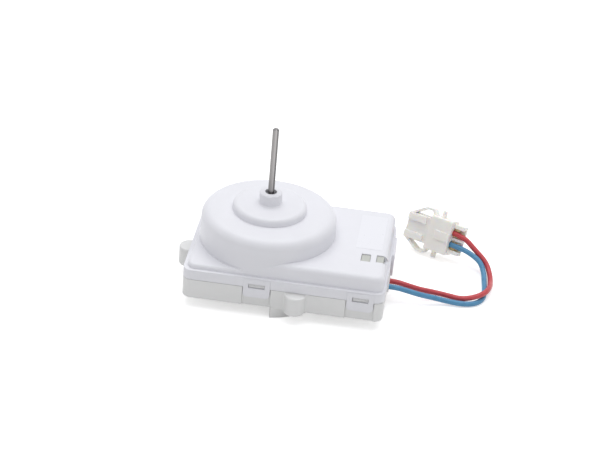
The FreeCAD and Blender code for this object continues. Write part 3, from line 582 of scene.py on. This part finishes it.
def stampedStack(look):
    surface = startSurface("laminations")
    setFinish(surface, "Metallic", look["metal"])
    sheets = bands(surface, look["sheet"], "Z")
    stain = cloud(surface, look["stain"], detail=5)
    base = tinted(surface, stain, look["colour"], look["stainColour"])
    gaps = ranged(surface, sheets, look["gapCover"], 0, 0, look["gapLevel"])
    paint(surface, overlaid(surface, gaps, base, look["shade"]))
    polish(surface, stain, *look["roughness"])
    relief(surface, [(sheets, look["sheetBump"])])
    return surface


dress(stampedStack(laminations), "stator_core")

# the windings: enamelled wire, with painted shade in the grooves between the turns
copperWire = {
    "colour": (0.62, 0.24, 0.08),
    "shade": (0.28, 0.09, 0.03),
    "metal": 0.8,
    "roughness": (0.22, 0.36),
    "wire": 0.00032,
    "wireWaver": 0.6,
    "wireBump": (0.0001, 0.7),
    "enamel": 0.002,
    "enamelSpan": (0.45, 0.7),
    "enamelCover": 0.35,
    "enamelColour": (0.40, 0.13, 0.04),
    "gloss": 0.4,
}


def woundWire(look):
    surface = startSurface("copperWire")
    setFinish(surface, "Metallic", look["metal"])
    turnsAndGrooveShade = bands(surface, look["wire"], "DIAGONAL", look["wireWaver"])
    enamel = cloud(surface, look["enamel"], detail=3)
    # each turn is painted darker towards its neighbours: painted shade of the grooves
    base = tinted(surface, turnsAndGrooveShade, look["shade"], look["colour"])
    thick = ranged(surface, enamel, 0, look["enamelCover"], *look["enamelSpan"])
    paint(surface, overlaid(surface, thick, base, look["enamelColour"]))
    polish(surface, enamel, *look["roughness"])
    relief(surface, [(turnsAndGrooveShade, look["wireBump"])])
    setFinish(surface, "Coat Weight", look["gloss"])
    return surface


dress(woundWire(copperWire), "stator_coils")

# the circuit board: solder mask over tracks and glass weave
solderMask = {
    "colour": (0.018, 0.16, 0.06),
    "track": (0.045, 0.26, 0.10),
    "roughness": (0.3, 0.42),
    "grid": 0.0024,
    "gridWaver": 3.0,
    "trackSpan": (0.45, 0.55),
    "trackBump": (0.00003, 0.5),
    "weave": 0.0006,
    "weaveCover": 0.3,
    "weaveColour": (0.03, 0.2, 0.08),
    "weaveBump": (0.000008, 0.4),
}


def boardLaminate(look):
    surface = startSurface("solderMask")
    tracks = bands(surface, look["grid"], "Y", look["gridWaver"])
    weave = cloud(surface, look["weave"], detail=2)
    edges = ranged(surface, tracks, 0, 1, *look["trackSpan"])
    base = tinted(surface, edges, look["colour"], look["track"])
    threads = ranged(surface, weave, 0, look["weaveCover"])
    paint(surface, overlaid(surface, threads, base, look["weaveColour"]))
    polish(surface, weave, *look["roughness"])
    relief(surface, [(tracks, look["trackBump"]), (weave, look["weaveBump"])])
    return surface


dress(boardLaminate(solderMask), "circuit_board")

# the capacitor's shrunk sleeve, with the pale stripe of its minus side
shrinkSleeve = {
    "colour": (0.02, 0.025, 0.07),
    "stripe": (0.55, 0.56, 0.58),
    "stripeInset": (0.0008, 0.0006),  # where the stripe starts and is full, from the can's side
    "roughness": (0.22, 0.34),
    "wrinkle": 0.002,
    "wrinkleStretch": (1, 1, 0.2),
    "wrinkleColour": (0.03, 0.035, 0.09),
    "wrinkleBump": (0.00003, 0.4),
}


def stripedSleeve(look):
    surface = startSurface("shrinkSleeve")
    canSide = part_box("electrolytic_capacitor")[1].x
    starts, full = look["stripeInset"]
    stripe = ranged(surface, axes(surface)["X"], 0, 1, canSide - starts, canSide - full)
    along = stretched(surface, look["wrinkleStretch"])
    wrinkle = cloud(surface, look["wrinkle"], detail=3, place=along)
    base = tinted(surface, wrinkle, look["colour"], look["wrinkleColour"])
    paint(surface, overlaid(surface, stripe, base, look["stripe"]))
    polish(surface, wrinkle, *look["roughness"])
    relief(surface, [(wrinkle, look["wrinkleBump"])])
    return surface


dress(stripedSleeve(shrinkSleeve), "electrolytic_capacitor")
print("inner parts finished")

# the two leads: each route starts at the grommet's face and ends in the plug's cavity, and lies
# so that the leads touch along their lower run
leadMake = {
    "radius": 0.00135,
    "roundness": 1.01,  # makes up for what the tube's flats take off its diameter
    "stepsAlong": 8,
    "stepsRound": 6,
}
redLead = {
    "name": "redLeadSleeve",
    "node": "red_lead",
    "slot": "red_sleeve",
    "length": 0.1071,
    "route": [
        (0.0631, -0.0014, 0.0090), (0.0668, -0.0014, 0.0090), (0.0720, -0.0016, 0.0079),
        (0.0786, -0.0004, 0.0058), (0.0862, 0.0020, 0.0038), (0.0936, 0.0026, 0.0024),
        (0.1000, 0.0012, 0.0024), (0.1064, 0.0018, 0.0042), (0.1114, 0.0064, 0.0048),
        (0.1132, 0.0142, 0.0034), (0.1134, 0.0222, 0.0016), (0.1128, 0.0294, 0.0018),
        (0.1102, 0.0356, 0.0052), (0.1034, 0.0394, 0.0098), (0.09688, 0.04231, 0.01485),
        (0.08958, 0.04559, 0.01485),
    ],
}
blueLead = {
    "name": "blueLeadSleeve",
    "node": "blue_lead",
    "slot": "blue_sleeve",
    "length": 0.1029,
    "route": [
        (0.0631, -0.0068, 0.0090), (0.0668, -0.0068, 0.0090), (0.0720, -0.0067, 0.0080),
        (0.0786, -0.0057, 0.0060), (0.0858, -0.0032, 0.0038), (0.0930, -0.0020, 0.0020),
        (0.1010, -0.0022, 0.0016), (0.1072, 0.0004, 0.0014), (0.1106, 0.0058, 0.0014),
        (0.1108, 0.0136, 0.0014), (0.1102, 0.0220, 0.0014), (0.1096, 0.0292, 0.0024),
        (0.1072, 0.0340, 0.0060), (0.1014, 0.0372, 0.0084), (0.0959, 0.04013, 0.00913),
        (0.0886, 0.04341, 0.00913),
    ],
}


def layLead(lead, surface):
    data = bpy.data.curves.new(lead["name"], "CURVE")
    data.dimensions = "3D"
    spline = data.splines.new("NURBS")
    spline.points.add(len(lead["route"]) - 1)
    for point, spot in zip(spline.points, lead["route"]):
        point.co = (*spot, 1)
    spline.order_u = 3
    spline.use_endpoint_u = True
    spline.resolution_u = leadMake["stepsAlong"]
    data.bevel_depth = leadMake["radius"] * leadMake["roundness"]
    data.bevel_resolution = leadMake["stepsRound"]
    data.use_fill_caps = True
    data.materials.append(surface["material"])
    piece = bpy.data.objects.new(lead["name"], data)
    bpy.context.scene.collection.objects.link(piece)
    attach(piece, "housing")
    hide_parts(lead["node"])


layLead(redLead, redSurface)
layLead(blueLead, blueSurface)
print("leads laid")

# floor, room and one soft box overhead
studio = {
    "floorSize": 8.0,
    "floorDrop": 0.00005,
    "floorColour": (0.87, 0.868, 0.86),
    "floorRoughness": 0.9,
    "floorSpecular": 0.1,
    "floorGlow": 0.5,
    "skyColour": (0.97, 0.975, 1.0),
    "skyLeft": 0.57,
    "skyRight": 0.55,
    "skySpan": (-0.9, 0.9),
    "skySeen": 1.0,
    "lampSpot": (0.03, 0.2, 1.1),
    "lampAim": (0.02, 0.0, 0.02),
    "lampSize": (1.3, 1.0),
    "lampWatts": 7.9,
    "lampColour": (0.98, 0.985, 1.0),
}


def either(tree, first, second):
    # one when at least one of two ray tests holds
    node = tree.nodes.new("ShaderNodeMath")
    node.operation = "MAXIMUM"
    tree.links.new(first, node.inputs[0])
    tree.links.new(second, node.inputs[1])
    return node.outputs[0]


def layFloor(setup):
    half = setup["floorSize"] / 2
    corners = [(-half, -half, 0), (half, -half, 0), (half, half, 0), (-half, half, 0)]
    mesh = bpy.data.meshes.new("studioFloor")
    mesh.from_pydata(corners, [], [(0, 1, 2, 3)])
    floor = bpy.data.objects.new("studioFloor", mesh)
    floor.location.z = -setup["floorDrop"]
    bpy.context.scene.collection.objects.link(floor)
    surface = startSurface("studioPaper")
    setFinish(surface, "Base Color", (*setup["floorColour"], 1))
    setFinish(surface, "Roughness", setup["floorRoughness"])
    setFinish(surface, "Specular IOR Level", setup["floorSpecular"])
    setFinish(surface, "Emission Color", (1, 1, 1, 1))
    # seen directly, in gloss or through glass the paper is white, and it still takes the shadow
    tree = surface["tree"]
    path = tree.nodes.new("ShaderNodeLightPath")
    seen = either(tree, path.outputs["Is Camera Ray"], path.outputs["Is Glossy Ray"])
    seen = either(tree, seen, path.outputs["Is Transmission Ray"])
    glow = tree.nodes.new("ShaderNodeMath")
    glow.operation = "MULTIPLY"
    glow.inputs[1].default_value = setup["floorGlow"]
    link(surface, seen, glow.inputs[0])
    link(surface, glow.outputs[0], surface["shader"].inputs["Emission Strength"])
    mesh.materials.append(surface["material"])


def lightRoom(setup):
    world = bpy.data.worlds.new("studioRoom")
    world.use_nodes = True
    tree = world.node_tree
    background = tree.nodes["Background"]
    background.inputs["Color"].default_value = (*setup["skyColour"], 1)
    # the room is a touch brighter on the left, and white where the camera or a gloss sees it
    direction = tree.nodes.new("ShaderNodeTexCoord")
    side = tree.nodes.new("ShaderNodeSeparateXYZ")
    room = tree.nodes.new("ShaderNodeMapRange")
    room.inputs["From Min"].default_value, room.inputs["From Max"].default_value = setup["skySpan"]
    room.inputs["To Min"].default_value = setup["skyLeft"]
    room.inputs["To Max"].default_value = setup["skyRight"]
    path = tree.nodes.new("ShaderNodeLightPath")
    seen = either(tree, path.outputs["Is Camera Ray"], path.outputs["Is Glossy Ray"])
    level = tree.nodes.new("ShaderNodeMapRange")
    level.inputs["To Max"].default_value = setup["skySeen"]
    tree.links.new(direction.outputs["Generated"], side.inputs["Vector"])
    tree.links.new(side.outputs["X"], room.inputs["Value"])
    tree.links.new(room.outputs["Result"], level.inputs["To Min"])
    tree.links.new(seen, level.inputs["Value"])
    tree.links.new(level.outputs["Result"], background.inputs["Strength"])
    bpy.context.scene.world = world


def hangLamp(setup):
    data = bpy.data.lights.new("overheadBox", "AREA")
    data.shape = "RECTANGLE"
    data.size, data.size_y = setup["lampSize"]
    data.energy = setup["lampWatts"]
    data.color = setup["lampColour"]
    holder = bpy.data.objects.new("overheadBox", data)
    holder.location = setup["lampSpot"]
    toward = Vector(setup["lampAim"]) - Vector(setup["lampSpot"])
    holder.rotation_euler = toward.to_track_quat("-Z", "Y").to_euler()
    bpy.context.scene.collection.objects.link(holder)


layFloor(studio)
lightRoom(studio)
hangLamp(studio)
bpy.context.scene.view_settings.view_transform = "Standard"
print("studio lit")
